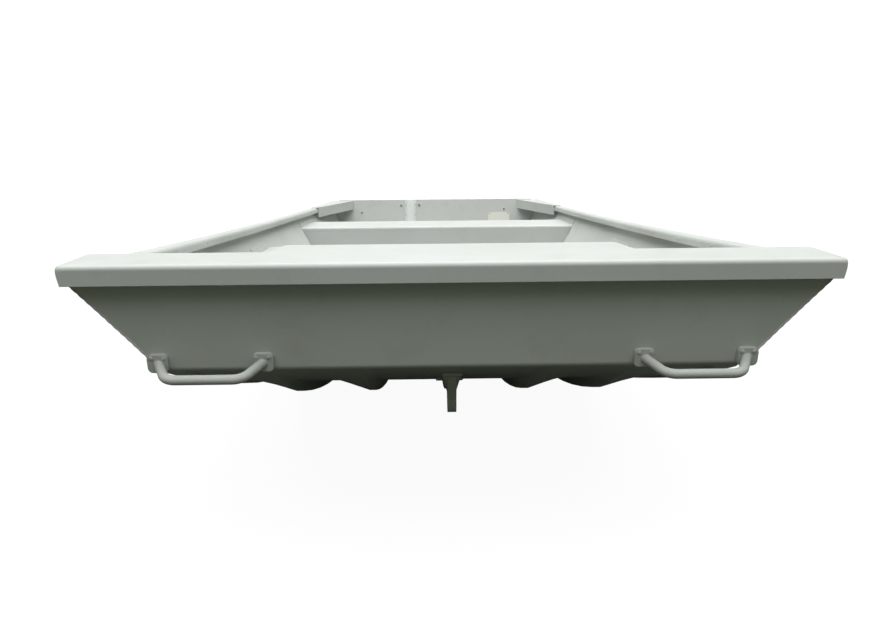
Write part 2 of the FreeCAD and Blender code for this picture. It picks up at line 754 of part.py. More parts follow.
def trim_for_rails(shape, forward):
    """Cut the transom piece's upper corners clear of the gunwales, forward of a depth."""
    top = transom_length()
    tilt = TRANSOM_RAKE / top
    drop = RAIL_HEIGHT + RAIL_INNER_LIP + TRANSOM_NOTCH + panel_face() * tilt
    inner_x = rail_seat(LENGTH)[0] - RAIL_INBOARD - TRANSOM_NOTCH
    corners = ((top - drop, forward), (top + WIDE, forward), (top + WIDE, WIDE), (top - drop, WIDE))
    for x in (-WIDE, inner_x):
        notch = face_of([transom_place(x, along, ahead) for along, ahead in corners])
        shape = shape.cut(notch.extrude(V(WIDE - inner_x, 0, 0)))
    return shape


def transom_skin():
    """Outer sheet of the transom, bent forward over the panel's top edge."""
    top = transom_length()
    outline = [(-60.0, 0.0), (top, 0.0), (top, TRANSOM_SKIN + FIT + TRANSOM_CORE)]
    face = bent_sheet(outline, TRANSOM_SKIN, TRANSOM_BEND,
                      lambda p: transom_place(-WIDE, p[0], p[1]))
    skin = face.extrude(V(2 * WIDE, 0, 0))
    skin = skin.common(envelope(0.0, higher=60.0, ys=near(STERN_PIECES_FROM, LENGTH + 60.0)))
    return main_solid(trim_for_rails(skin, TRANSOM_SKIN).cut(drain_hole()))


def transom_panel():
    """Boxed panel inside the skin, between the sides."""
    back = TRANSOM_SKIN + FIT
    top = transom_length() - TRANSOM_SKIN - FIT
    corners = ((-60.0, back), (top, back), (top, panel_face()), (-60.0, panel_face()))
    slab = face_of([transom_place(-WIDE, along, ahead) for along, ahead in corners])
    slab = slab.extrude(V(2 * WIDE, 0, 0))
    slab = slab.common(envelope(SHEET + FIT, higher=60.0, ys=near(STERN_PIECES_FROM, LENGTH + 60.0)))
    return main_solid(trim_for_rails(slab, back).cut(drain_hole()))


def panel_face():
    return TRANSOM_SKIN + FIT + TRANSOM_CORE


def panel_face_y(z):
    return transom_y(z) - panel_face() / transom_vectors()[0][1]


def transom_stiffener():
    """Hat channel up the inside of the transom panel."""
    crown = STIFFENER_CROWN / 2
    foot = crown + STIFFENER_FOOT
    seat = panel_face() + FIT
    outline = [(foot, seat), (crown, seat), (crown, seat + STIFFENER_DEPTH - STIFFENER_WALL),
               (-crown, seat + STIFFENER_DEPTH - STIFFENER_WALL), (-crown, seat), (-foot, seat)]
    start = SHEET + RIB_DEPTH
    face = bent_sheet([(-x, f) for x, f in outline], STIFFENER_WALL, STIFFENER_BEND,
                      lambda p: transom_place(STIFFENER_AT + p[0], start, p[1]))
    up, ahead = transom_vectors()
    length = transom_length() - TRANSOM_SKIN - start - FIT
    return face.extrude(V(0, up[0], up[1]) * length)


def transom_knee():
    """Corner plate over the gunwale and the transom's top, with a flange along its free edge."""
    back = panel_face_y(sheer_z(LENGTH)) - FIT
    front = back - KNEE_SIDE
    slope = (sheer_z(front) - sheer_z(back)) / (back - front)
    inner_back = rail_seat(back)[0] - KNEE_TRANSOM
    inner_front = rail_seat(front)[0] - RAIL_INBOARD
    plan = [(half_beam(front) - RAIL_ROUND, front), (half_beam(back) - RAIL_ROUND, back),
            (inner_back, back), (inner_front, front)]
    plate = face_of([V(x, y, -KNEE_WALL) for x, y in plan]).extrude(V(0, 0, KNEE_WALL))
    run = V(inner_back - inner_front, back - front, 0)
    run.normalize()
    outboard = V(run.y, -run.x, 0)
    lip_start = V(inner_front, front, 0) + run * KNEE_LIP_START
    lip_end = V(inner_back, back, 0) - run * KNEE_LIP_END
    lip = Part.Face(Part.makePolygon([
        lip_start, lip_end, lip_end + outboard * KNEE_WALL, lip_start + outboard * KNEE_WALL,
        lip_start])).extrude(V(0, 0, -KNEE_FLANGE))
    knee = plate.fuse(lip)
    knee.rotate(V(0, front, 0), V(1, 0, 0), -math.degrees(math.atan(slope)))
    knee.translate(V(0, 0, sheer_z(front)))
    knee = knee.common(hull_length(0.0, (panel_face() + FIT) / transom_vectors()[0][1]))
    clear = envelope(SHEET + RAIL_LIP + 2 * FIT + 1.0, ys=near(STERN_PIECES_FROM, LENGTH + 60.0))
    over = block(-WIDE, WIDE, 0.0, 5 * WIDE, rail_seat(back)[1] - 1.0, FAR_ABOVE)
    return main_solid(knee.common(clear.fuse(over)))


def motor_pad():
    """Flat plate outside the transom for an outboard's clamps."""
    width, height, wall = CLAMP_PLATE
    low = transom_length() - CLAMP_PLATE_DROP - height
    corners = ((low, -FIT), (low + height, -FIT), (low + height, -FIT - wall), (low, -FIT - wall))
    pad = face_of([transom_place(-width / 2, a, f) for a, f in corners]).extrude(V(width, 0, 0))
    up, ahead = transom_vectors()
    return round_edges(pad, CLAMP_PLATE_ROUND, lambda edge: runs_along(edge, V(0, ahead[0], ahead[1])))


def capacity_plate():
    """Bare plate inside the transom."""
    width, height, wall = LABEL_SIZE
    high = transom_length() - LABEL_DOWN
    seat = panel_face() + FIT
    corners = ((high - height, seat), (high, seat), (high, seat + wall), (high - height, seat + wall))
    face = face_of([transom_place(LABEL_ACROSS - width / 2, a, f) for a, f in corners])
    return face.extrude(V(width, 0, 0))


def drain_tube():
    """Flanged tube through the transom, open right through."""
    up, ahead = transom_vectors()
    axis = V(0, ahead[0], ahead[1])
    outer = DRAIN_BORE / 2 + DRAIN_WALL
    end = panel_face() + DRAIN_INNER_END
    start = transom_place(DRAIN_ACROSS, DRAIN_UP, -FIT - DRAIN_FLANGE_WALL)
    tube = Part.makeCylinder(outer, end + FIT + DRAIN_FLANGE_WALL, start, axis)
    flange = Part.makeCylinder(DRAIN_FLANGE / 2, DRAIN_FLANGE_WALL, start, axis)
    bore = Part.makeCylinder(DRAIN_BORE / 2, WIDE, start - axis * (WIDE / 2), axis)
    return main_solid(tube.fuse(flange).cut(bore).removeSplitter())


# ---------------------------------------------------------------- benches and ribs

def bench(front):
    """Foam-filled box seat between the sides, with end flanges turned up against them."""
    back = front + BENCH_DEPTH
    seat = block(-WIDE, WIDE, front, back, -WIDE, BENCH_TOP)
    seat = round_edges(seat, BENCH_ROUND,
                       lambda edge: runs_along(edge, V(1, 0, 0)) and edge.CenterOfMass.z > 0)
    inset = SHEET + FIT
    seat = seat.common(envelope(inset, ys=near(front, back)))
    ends = (front + BENCH_TAB_END, back - BENCH_TAB_END)
    ys = [ends[0]] + [y for y in STATIONS if ends[0] < y < ends[1]] + [ends[1]]

    def low(y):
        return along_at_height(y, BENCH_TOP - BENCH_TAB_WALL, inset)

    def high(y):
        under_rail = along_at_height(y, rail_seat(y)[1], inset) - RAIL_INNER_LIP - BENCH_TAB_GAP
        return min(along_at_height(y, BENCH_TOP + BENCH_TAB_HEIGHT, inset), under_rail)
    tab = side_strip(ys, low, high, inset - FIT / 2, BENCH_TAB_WALL)
    return main_solid(seat.fuse([tab, starboard_of(tab)]))


def floor_rib(y):
    """Hat channel across the bottom sheet."""
    crown = RIB_CROWN / 2
    foot = crown + RIB_FOOT
    high = RIB_DEPTH - RIB_WALL
    outline = [(-foot, 0.0), (-crown, 0.0), (-crown, high), (crown, high), (crown, 0.0), (foot, 0.0)]
    slope = pan_slope(y - foot, y + foot)
    floor = (pan_z(y - foot) + pan_z(y + foot)) / 2 + SHEET + FIT
    outline = [(y + a, floor + slope * a + h) for a, h in outline]
    rib = sheet_across(outline, RIB_WALL, RIB_BEND, WIDE)
    room = envelope(SHEET + FIT, lower=60.0, ys=near(y - foot, y + foot))
    return main_solid(rib.common(room))


def side_rib(y):
    """Pressed rib up the side, above the end of a floor rib."""
    inset = SHEET + FIT
    foot_height = RIB_DEPTH + SIDE_RIB_GAP

    def low(at):
        return along_at_height(at, pan_z(at) + foot_height, inset)

    def high(at):
        return along_at_height(at, SIDE_RIB_TOP, inset)
    half = RIB_CROWN / 2
    wide = half + RIB_FOOT
    ys = [s for s in STATIONS if y - wide < s < y + wide]
    crown_ys = [y - half] + [s for s in ys if abs(s - y) < half] + [y + half]
    flange_ys = [y - wide] + ys + [y + wide]
    crown = side_strip(crown_ys, lambda at: low(at) + RIB_WALL, lambda at: high(at) - RIB_WALL,
                       inset + RIB_WALL / 2, SIDE_RIB_DEPTH - RIB_WALL / 2)
    flange = side_strip(flange_ys, low, high, inset, RIB_WALL)
    return main_solid(crown.fuse(flange))


# ---------------------------------------------------------------- the boat

def pieces():
    """Every sub-part by its node's name."""
    port = {
        "hull_side": hull_side(),
        "chine": chine(),
        "gunwale": gunwale(),
        "side_rail": side_rail(),
        "bow_handle": bow_handle(),
        "transom_knee": transom_knee(),
    }
    for number, y in enumerate(FRAME_STATIONS, 1):
        port["side_rib_%d" % number] = side_rib(y)
    nodes = {
        "hull_bottom": hull_bottom(),
        "bow_plate": bow_plate(),
        "bow_deck": bow_deck(),
        "bow_eye": bow_eye(),
        "centre_keel": centre_keel(),
        "transom_skin": transom_skin(),
        "transom_panel": transom_panel(),
        "transom_stiffener": transom_stiffener(),
        "motor_pad": motor_pad(),
        "capacity_plate": capacity_plate(),
        "drain_tube": drain_tube(),
    }
    for name, front in BENCH_FRONTS.items():
        nodes[name] = bench(front)
    for number, y in enumerate(FRAME_STATIONS, 1):
        nodes["floor_rib_%d" % number] = floor_rib(y)
    for name, shape in port.items():
        nodes[name + "_port"] = shape
        nodes[name + "_starboard"] = starboard_of(shape)
    return nodes


def main():
    nodes = pieces()
    whole = Part.makeCompound(list(nodes.values())).optimalBoundingBox(False)
    move = V(0, -(whole.YMin + whole.YMax) / 2, 0)
    os.makedirs("parts", exist_ok=True)
    for name, shape in nodes.items():
        placed = shape.copy()
        placed.translate(move)
        placed.exportStep("parts/" + name + ".step")
        box = placed.optimalBoundingBox(False)
        print("%-24s solids %d  x %8.1f %8.1f  y %8.1f %8.1f  z %7.1f %7.1f  %9.1f cm3" % (
            name, len(placed.Solids), box.XMin, box.XMax, box.YMin, box.YMax,
            box.ZMin, box.ZMax, placed.Volume / 1000))
        if not placed.isValid():
            print("   not valid:", name)
    print("moved along y by %.3f; whole boat x %.1f %.1f, y %.1f %.1f, z %.2f %.1f" % (
        move.y, whole.XMin, whole.XMax, whole.YMin + move.y, whole.YMax + move.y,
        whole.ZMin, whole.ZMax))


main()
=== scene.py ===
import math
import random

import bpy
from mathutils import Matrix, Vector
from mathutils.bvhtree import BVHTree

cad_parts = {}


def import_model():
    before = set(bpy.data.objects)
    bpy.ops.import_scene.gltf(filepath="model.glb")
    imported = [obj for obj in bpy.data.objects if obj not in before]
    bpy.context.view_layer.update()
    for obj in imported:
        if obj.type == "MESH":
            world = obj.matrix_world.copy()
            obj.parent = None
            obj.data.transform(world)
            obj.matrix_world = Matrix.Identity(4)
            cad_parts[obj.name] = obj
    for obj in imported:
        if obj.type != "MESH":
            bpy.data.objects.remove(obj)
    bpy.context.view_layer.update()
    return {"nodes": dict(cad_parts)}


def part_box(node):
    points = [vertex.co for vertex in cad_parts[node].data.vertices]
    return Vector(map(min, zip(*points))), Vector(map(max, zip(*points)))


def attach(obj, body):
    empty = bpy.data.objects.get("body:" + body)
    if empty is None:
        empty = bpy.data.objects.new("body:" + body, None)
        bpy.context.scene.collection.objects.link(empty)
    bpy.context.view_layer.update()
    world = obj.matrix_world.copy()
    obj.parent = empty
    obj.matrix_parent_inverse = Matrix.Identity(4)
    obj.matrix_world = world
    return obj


# Flat-bottomed aluminium jon boat, painted light grey, seen from ahead of its bow.
# Metres. +Z is up, +Y runs aft, +X is the port side.

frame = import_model()

SEED = 12
IMAGE_WIDTH = 887.0             # pixels
SENSOR = 36.0                   # millimetres
CLIP_END = 200.0

# Camera, measured from the middle of the bow deck's front edge
CAMERA_OFFSET = Vector((-0.0363, -1.1229, 0.157))
CAMERA_YAW = math.radians(0.97)
CAMERA_PITCH = math.radians(-11.99)
CAMERA_ROLL = math.radians(-0.46)
FOCAL_PIXELS = 772.5

PAINT = (0.575, 0.588, 0.573, 1.0)
PAINT_WARM = (0.535, 0.545, 0.528, 1.0)
LIGHT_PAINT = (0.82, 0.84, 0.84, 1.0)
LIGHT_PAINT_WARM = (0.77, 0.79, 0.78, 1.0)
CAST_PAINT = (0.60, 0.615, 0.59, 1.0)
CAST_DARK = (0.50, 0.51, 0.49, 1.0)
IVORY = (0.84, 0.84, 0.74, 1.0)
BARE_METAL = (0.62, 0.62, 0.61, 1.0)
DARK_STEEL = (0.30, 0.30, 0.30, 1.0)
RIVET_PAINT = (0.55, 0.56, 0.55, 1.0)

# Paint detail. SCALE is a noise's spots per metre, RANGE the part of the noise that is
# spread over the whole change of colour, and DARK the darkest that a layer turns the paint
DRIFT_SCALE = 3.0
DRIFT_RANGE = (0.35, 0.70)
SPECKLE_SCALE = 420.0
SPECKLE_RANGE = (0.30, 0.75)
SPECKLE_DARK = 0.965
GRIME_SCALE = 14.0
GRIME_RANGE = (0.28, 0.46)
GRIME_DARK = 0.93
WEAR_RANGE = (0.56, 0.66)       # pointiness of the edges that show bare metal
WEAR_MOST = 0.35
GLOSS_SCALE = 22.0
GLOSS_RANGE = (0.3, 0.7)
GLOSS_SPREAD = (-0.06, 0.08)    # roughness, less and more than the paint's own
PAINT_SPECULAR = 0.4
WAVE_SCALE = 9.0
PEEL_STRENGTH = 0.22
PEEL_HEIGHT = 0.0006
PAINT_EDGE = 0.0012             # radius that sharp sheet edges seem rounded to
CAST_EDGE = 0.0025
SMALL_EDGE = 0.0006
BARE_METALLIC = 0.9
BARE_ROUGHENING = 0.15
BARE_BUMP = (0.15, 0.0004)      # strength and height

# Light: a bright sky overhead, dim towards the horizon, over dark ground. The camera
# sees the sky and the floor as white instead, apart from a faint shadow
FLOOR_BOUNCE = (0.030, 0.036, 0.024, 1.0)
FLOOR_SHADOW = 0.08
FLOOR_GLOW = 0.95
FLOOR_ROUGHNESS = 0.9
FLOOR_REACH = 40.0
SKY_RANGE = (0.52, 0.88)        # heights, 0 at the horizon and 1 overhead
HORIZON = (0.045, 0.055, 0.038, 1.0)
ZENITH = (0.98, 1.0, 1.0, 1.0)
SKY_POWER = 2.9
OVERHEAD_POWER = 36.0
FILL_POWER = 0.4

nodes = frame["nodes"]
random.seed(SEED)


# ---------------------------------------------------------------- materials

def new_material(name):
    material = bpy.data.materials.new(name)
    material.use_nodes = True
    tree = material.node_tree
    shader = tree.nodes["Principled BSDF"]
    return material, tree, shader


def noise(tree, scale, detail, roughness=0.5):
    coords = tree.nodes.new("ShaderNodeTexCoord")
    texture = tree.nodes.new("ShaderNodeTexNoise")
    texture.inputs["Scale"].default_value = scale
    texture.inputs["Detail"].default_value = detail
    texture.inputs["Roughness"].default_value = roughness
    tree.links.new(coords.outputs["Object"], texture.inputs["Vector"])
    return texture.outputs["Fac"]


def ramp(tree, source, span, low_colour, high_colour):
    node = tree.nodes.new("ShaderNodeValToRGB")
    for stop, position, colour in zip(node.color_ramp.elements, span,
                                      (low_colour, high_colour)):
        stop.position = position
        stop.color = colour
    tree.links.new(source, node.inputs["Fac"])
    return node.outputs["Color"]


def grey(value):
    return (value, value, value, 1.0)


def mix(tree, blend, factor, first, second):
    node = tree.nodes.new("ShaderNodeMix")
    node.data_type = "RGBA"
    node.blend_type = blend
    if isinstance(factor, float):
        node.inputs["Factor"].default_value = factor
    else:
        tree.links.new(factor, node.inputs["Factor"])
    tree.links.new(first, node.inputs["A"])
    tree.links.new(second, node.inputs["B"])
    return node.outputs["Result"]


def bump(tree, height, strength, distance, edge):
    """Bump over softened edges: edge is the radius that sharp edges seem rounded to."""
    bevel = tree.nodes.new("ShaderNodeBevel")
    bevel.samples = 4
    bevel.inputs["Radius"].default_value = edge
    node = tree.nodes.new("ShaderNodeBump")
    node.inputs["Strength"].default_value = strength
    node.inputs["Distance"].default_value = distance
    tree.links.new(height, node.inputs["Height"])
    tree.links.new(bevel.outputs["Normal"], node.inputs["Normal"])
    return node.outputs["Normal"]


def metal_paint(name, base, shade, roughness, grain, edge):
    """Sprayed paint: colour drift, speckle, grime, scuffed edges and orange peel."""
    material, tree, shader = new_material(name)
    drift = ramp(tree, noise(tree, DRIFT_SCALE, 4.0), DRIFT_RANGE, base, shade)
    speckle = ramp(tree, noise(tree, SPECKLE_SCALE, 3.0), SPECKLE_RANGE,
                   grey(SPECKLE_DARK), grey(1.0))
    grime = ramp(tree, noise(tree, GRIME_SCALE, 9.0, 0.68), GRIME_RANGE,
                 grey(GRIME_DARK), grey(1.0))
    colour = mix(tree, "MULTIPLY", 1.0, drift, speckle)
    colour = mix(tree, "MULTIPLY", 1.0, colour, grime)
    geometry = tree.nodes.new("ShaderNodeNewGeometry")
    worn = ramp(tree, geometry.outputs["Pointiness"], WEAR_RANGE, grey(0.0), grey(WEAR_MOST))
    bare = tree.nodes.new("ShaderNodeRGB")
    bare.outputs[0].default_value = BARE_METAL
    colour = mix(tree, "MIX", worn, colour, bare.outputs[0])
    tree.links.new(colour, shader.inputs["Base Color"])
    rough = ramp(tree, noise(tree, GLOSS_SCALE, 6.0, 0.6), GLOSS_RANGE,
                 *(grey(roughness + change) for change in GLOSS_SPREAD))
    tree.links.new(rough, shader.inputs["Roughness"])
    shader.inputs["Specular IOR Level"].default_value = PAINT_SPECULAR
    peel = mix(tree, "MIX", 0.5, noise(tree, grain, 2.0), noise(tree, WAVE_SCALE, 2.0))
    tree.links.new(bump(tree, peel, PEEL_STRENGTH, PEEL_HEIGHT, edge),
                   shader.inputs["Normal"])
    return material


def bare_metal(name, base, roughness):
    material, tree, shader = new_material(name)
    shade = [0.8 * c for c in base[:3]] + [1.0]
    drift = ramp(tree, noise(tree, 30.0, 5.0), GLOSS_RANGE, base, shade)
    tree.links.new(drift, shader.inputs["Base Color"])
    shader.inputs["Metallic"].default_value = BARE_METALLIC
    rough = ramp(tree, noise(tree, 60.0, 4.0), GLOSS_RANGE,
                 grey(roughness), grey(roughness + BARE_ROUGHENING))
    tree.links.new(rough, shader.inputs["Roughness"])
    tree.links.new(bump(tree, noise(tree, 300.0, 2.0), *BARE_BUMP, SMALL_EDGE),
                   shader.inputs["Normal"])
    return material


paint = metal_paint("hull_paint", PAINT, PAINT_WARM, 0.48, 260.0, PAINT_EDGE)
cast = metal_paint("cast_paint", CAST_PAINT, CAST_DARK, 0.55, 520.0, CAST_EDGE)
light_paint = metal_paint("light_paint", LIGHT_PAINT, LIGHT_PAINT_WARM, 0.42, 260.0, PAINT_EDGE)
rivet_paint = metal_paint("rivet_paint", RIVET_PAINT, PAINT_WARM, 0.45, 400.0, SMALL_EDGE)
label = metal_paint("bare_label", IVORY, IVORY, 0.5, 200.0, SMALL_EDGE)
drain_metal = bare_metal("drain_metal", BARE_METAL, 0.35)
bolt_metal = bare_metal("bolt_steel", DARK_STEEL, 0.4)


def dress(name, material):
    for place in nodes[name].material_slots:
        place.link = "OBJECT"
        place.material = material


CAST_NODES = ("bow_eye", "bow_handle_port", "bow_handle_starboard")
for name in nodes:
    dress(name, cast if name in CAST_NODES else paint)
dress("transom_stiffener", light_paint)
dress("capacity_plate", label)
dress("drain_tube", drain_metal)


# ---------------------------------------------------------------- mesh helpers

SUNK = 0.0004                   # how far the foot of a rivet or bolt is under its surface
RIM_SHARE = 0.25                # a rivet's rim, of its height


def surface_of(*names):
    """Tree of the named nodes' faces, in the row frame."""
    vertices = []
    faces = []
    for name in names:
        node = nodes[name]
        start = len(vertices)
        vertices += [node.matrix_world @ v.co for v in node.data.vertices]
        faces += [[start + i for i in face.vertices] for face in node.data.polygons]
    return BVHTree.FromPolygons(vertices, faces)


def hit(tree, origin, direction):
    """Point and normal towards the ray where it meets a surface, or None."""
    place, normal = tree.ray_cast(Vector(origin), Vector(direction))[:2]
    if place is None:
        return None
    if normal.dot(Vector(direction)) > 0:
        normal = -normal
    return place, normal


def circle(radius, height, sides):
    angles = (2 * math.pi * i / sides for i in range(sides))
    return [(radius * math.cos(angle), radius * math.sin(angle), height) for angle in angles]


def dome_parts(radius, height, sides=14, rings=4):
    """Vertices and faces of a low dome with a short rim, its foot sunk under z = 0."""
    vertices = circle(radius, -SUNK, sides)
    for ring in range(rings):
        lift = math.pi / 2 * ring / rings
        z = height * (RIM_SHARE + (1 - RIM_SHARE) * math.sin(lift))
        vertices += circle(radius * math.cos(lift), z, sides)
    vertices.append((0.0, 0.0, height))
    faces = []
    for ring in range(rings):
        for i in range(sides):
            j = (i + 1) % sides
            a = ring * sides
            faces.append((a + i, a + j, a + sides + j, a + sides + i))
    top = rings * sides
    for i in range(sides):
        faces.append((top + i, top + (i + 1) % sides, len(vertices) - 1))
    faces.append(tuple(reversed(range(sides))))
    return vertices, faces


def hexagon_parts(radius, height):
    """Vertices and faces of a hexagon head, chamfered on top, its foot under z = 0."""
    vertices = []
    for r, z in ((radius, -SUNK), (radius, 0.75 * height), (0.82 * radius, height)):
        vertices += [(r * math.cos(math.pi * i / 3), r * math.sin(math.pi * i / 3), z)
                     for i in range(6)]
    faces = [tuple(reversed(range(6))), tuple(range(12, 18))]
    for a in (0, 6):
        faces += [(a + i, a + (i + 1) % 6, a + 6 + (i + 1) % 6, a + 6 + i) for i in range(6)]
    return vertices, faces


def make_piece(name, vertices, faces, material, smooth=True):
    mesh = bpy.data.meshes.new(name)
    mesh.from_pydata(vertices, [], faces)
    mesh.update()
    for face in mesh.polygons:
        face.use_smooth = smooth
    mesh.materials.append(material)
    piece = bpy.data.objects.new(name, mesh)
    bpy.context.scene.collection.objects.link(piece)
    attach(piece, "root")
    return piece


def scatter(name, places, parts, material, smooth=True):
    """One joined piece: the same small part at each (point, normal)."""
    vertices = []
    faces = []
    for place, normal in places:
        turn = normal.to_track_quat("Z", "Y").to_matrix()
        spin = Matrix.Rotation(random.uniform(0, math.pi), 3, "Z")
        start = len(vertices)
        vertices += [place + turn @ (spin @ Vector(v)) for v in parts[0]]
        faces += [tuple(start + i for i in face) for face in parts[1]]
    return make_piece(name, vertices, faces, material, smooth)


def spread(start, end, step):
    count = max(2, int(round(abs(end - start) / step)) + 1)
    return [start + (end - start) * i / (count - 1) for i in range(count)]


def bead(name, path, radius, material, sides=8):
    """Rippled weld bead: a half-buried tube along points, thick and thin by turns."""
    vertices = []
    faces = []
    for i, place in enumerate(path):
        ahead = path[min(i + 1, len(path) - 1)]
        behind = path[max(i - 1, 0)]
        along = (ahead - behind).normalized()
        across = along.orthogonal().normalized()
        up = along.cross(across)
        r = radius * (1.0 + WELD_RIPPLE * math.sin(i * WELD_RIPPLE_TURN))
        for k in range(sides):
            angle = 2 * math.pi * k / sides
            vertices.append(place + across * (r * math.cos(angle)) + up * (r * math.sin(angle)))
        if i:
            a = (i - 1) * sides
            for k in range(sides):
                j = (k + 1) % sides
                faces.append((a + k, a + j, a + sides + j, a + sides + k))
    faces.append(tuple(reversed(range(sides))))
    faces.append(tuple(range(len(vertices) - sides, len(vertices))))
    return make_piece(name, vertices, faces, material)


# ---------------------------------------------------------------- rivets and bolts

RIVET = dome_parts(radius=0.0052, height=0.0022)
SMALL_RIVET = dome_parts(radius=0.0036, height=0.0016)
BOLT = hexagon_parts(radius=0.0058, height=0.0045)
SIDES = (("port", 1.0), ("starboard", -1.0))
BENCHES = ("bench_front", "bench_middle", "bench_aft")
RIBS = (1, 2, 3)

# Metres. STEP is the distance between a row's rivets, and the others are distances
# inwards from the node's own box, unless they say something else
ROW_REACH = 0.42                # from the centre line to the last rivet of a row across
ROW_STEP = 0.07
BENCH_DROP = 0.009
BENCH_MARGIN = 0.035
BENCH_STEP = 0.06
BENCH_FOOT_UP = 0.035
BENCH_FOOT_STEP = 0.14
RIB_LINES = (-0.023, 0.023)     # from the rib's middle
RIB_FOOT = 0.03
RIB_HEAD = 0.02
RIB_STEP = 0.075
SIDE_RAIL_MARGIN = 0.04
SIDE_RAIL_STEP = 0.15
GUNWALE_BOW_MARGIN = 0.28
GUNWALE_STERN_MARGIN = 0.34
GUNWALE_STEP = 0.30
GUNWALE_UP = 0.010              # from the flange's lower edge
FOOT_IN = (0.007, 0.026)
FOOT_DROP = 0.007
STIFFENER_FOOT = 0.02
STIFFENER_HEAD = 0.03
STIFFENER_STEP = 0.06
STIFFENER_IN = 0.005
PLATE_IN = 0.007
PAD_IN = 0.018
SKIN_FOOT = 0.05
SKIN_HEAD = 0.08
SKIN_STEP = 0.06
SKIN_IN = 0.016                 # from the skin's slanting edge
SKIN_FOOT_ROW_UP = 0.014
# Bolts through the transom: across from the stiffener, and down from the panel's top
STIFFENER_BOLTS = ((-0.055, 0.030), (0.052, 0.028), (-0.29, 0.070))
FAR_BOLT = (0.26, 0.055)        # across from the stiffener's mirror image

# Where rays start that look for the surface under a rivet
OUTBOARD = 1.0                  # from the centre line
OVER_FLOOR = 0.6
OFF_BENCH = 0.1                 # from the node's box
OFF_HANDLE = 0.2
OFF_TRANSOM = 0.3
OFF_SIDE_RAIL = 0.2             # from the point of the rail nearest to SIDE_RAIL_SEEN
SIDE_RAIL_SEEN = 1.2            # from the centre line
TRANSOM_SEEN = 2.0

WELD_RADIUS = 0.0022
WELD_STEP = 0.003
WELD_FOOT = 0.012
WELD_HEAD = 0.002
WELD_IN = 0.001                 # behind the bow plate's face
WELD_OFF = 0.3                  # ahead of the bow plate, where its rays start
WELD_RIPPLE = 0.16
WELD_RIPPLE_TURN = 1.9          # radians for each step


def fix(name, surface, rays, parts=SMALL_RIVET, material=rivet_paint,
        smooth=True):
    """One rivet or bolt where each (origin, direction) meets the surface."""
    found = [hit(surface, origin, direction) for origin, direction in rays]
    scatter(name, [place for place in found if place], parts, material, smooth)


def bench_row(bench):
    """Places along a bench's end flanges, and their height."""
    low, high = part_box(bench)
    along = spread(low.y + BENCH_MARGIN, high.y - BENCH_MARGIN, BENCH_STEP)
    return [(y, high.z - BENCH_DROP) for y in along]


def side_rib_lines(side):
    places = []
    for rib in RIBS:
        low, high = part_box("side_rib_%d_%s" % (rib, side))
        for offset in RIB_LINES:
            places += [((low.y + high.y) / 2 + offset, z)
                       for z in spread(low.z + RIB_FOOT, high.z - RIB_HEAD, RIB_STEP)]
    return places


def bench_rivets(bench):
    """Along the end flanges, and along the foot of the front and back faces."""
    low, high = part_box(bench)
    rays = [((0.0, y, z), (sign, 0.0, 0.0)) for y, z in bench_row(bench) for side, sign in SIDES]
    foot = low.z + BENCH_FOOT_UP
    for x in spread(-ROW_REACH, ROW_REACH, BENCH_FOOT_STEP):
        rays.append(((x, low.y - OFF_BENCH, foot), (0.0, 1.0, 0.0)))
        rays.append(((x, high.y + OFF_BENCH, foot), (0.0, -1.0, 0.0)))
    fix(bench + "_rivets", surface_of(bench), rays)


def hull_side_rivets(side, sign):
    """Outside, through the side ribs' flanges and the benches' end flanges."""
    places = side_rib_lines(side)
    for bench in BENCHES:
        places += bench_row(bench)
    outside = surface_of("hull_side_" + side, "chine_" + side, "side_rail_" + side)
    rays = [((sign * OUTBOARD, y, z), (-sign, 0.0, 0.0)) for y, z in places]
    fix("outside_rivets_" + side, outside, rays, RIVET)


def side_rail_rivets(side, sign):
    rail = surface_of("side_rail_" + side)
    low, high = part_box("side_rail_" + side)
    rays = []
    for y in spread(low.y + SIDE_RAIL_MARGIN, high.y - SIDE_RAIL_MARGIN, SIDE_RAIL_STEP):
        seen = Vector((sign * SIDE_RAIL_SEEN, y, (low.z + high.z) / 2))
        origin = rail.find_nearest(seen)[0] + Vector((sign * OFF_SIDE_RAIL, 0.0, 0.0))
        rays.append((origin, (-sign, 0.0, 0.0)))
    fix("side_rail_rivets_" + side, rail, rays)


def gunwale_rivets(side, sign):
    """Through the gunwale's inner flange, seen from inside the boat."""
    rail = surface_of("gunwale_" + side)
    low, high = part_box("gunwale_" + side)
    rays = []
    for y in spread(low.y + GUNWALE_BOW_MARGIN, high.y - GUNWALE_STERN_MARGIN, GUNWALE_STEP):
        foot = rail.find_nearest(Vector((0.0, y, 0.0)))[0]
        rays.append(((0.0, y, foot.z + GUNWALE_UP), (sign, 0.0, 0.0)))
    fix("gunwale_rivets_" + side, rail, rays)


def side_rib_rivets(side, sign):
    names = ["side_rib_%d_%s" % (rib, side) for rib in RIBS]
    rays = [((0.0, y, z), (sign, 0.0, 0.0)) for y, z in side_rib_lines(side)]
    fix("side_rib_rivets_" + side, surface_of(*names), rays)


def foot_rivets(side):
    """Two rivets through each foot of the bow handle."""
    handle = "bow_handle_" + side
    low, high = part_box(handle)
    rays = [((x, low.y - OFF_HANDLE, high.z - FOOT_DROP), (0.0, 1.0, 0.0))
            for x in [low.x + step for step in FOOT_IN] + [high.x - step for step in FOOT_IN]]
    fix("handle_rivets_" + side, surface_of(handle), rays, material=cast)


def floor_rib_rivets():
    names = ["floor_rib_%d" % rib for rib in RIBS]
    rays = []
    for name in names:
        low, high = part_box(name)
        for offset in RIB_LINES:
            rays += [((x, (low.y + high.y) / 2 + offset, OVER_FLOOR), (0.0, 0.0, -1.0))
                     for x in spread(-ROW_REACH, ROW_REACH, ROW_STEP)]
    fix("floor_rib_rivets", surface_of(*names), rays)


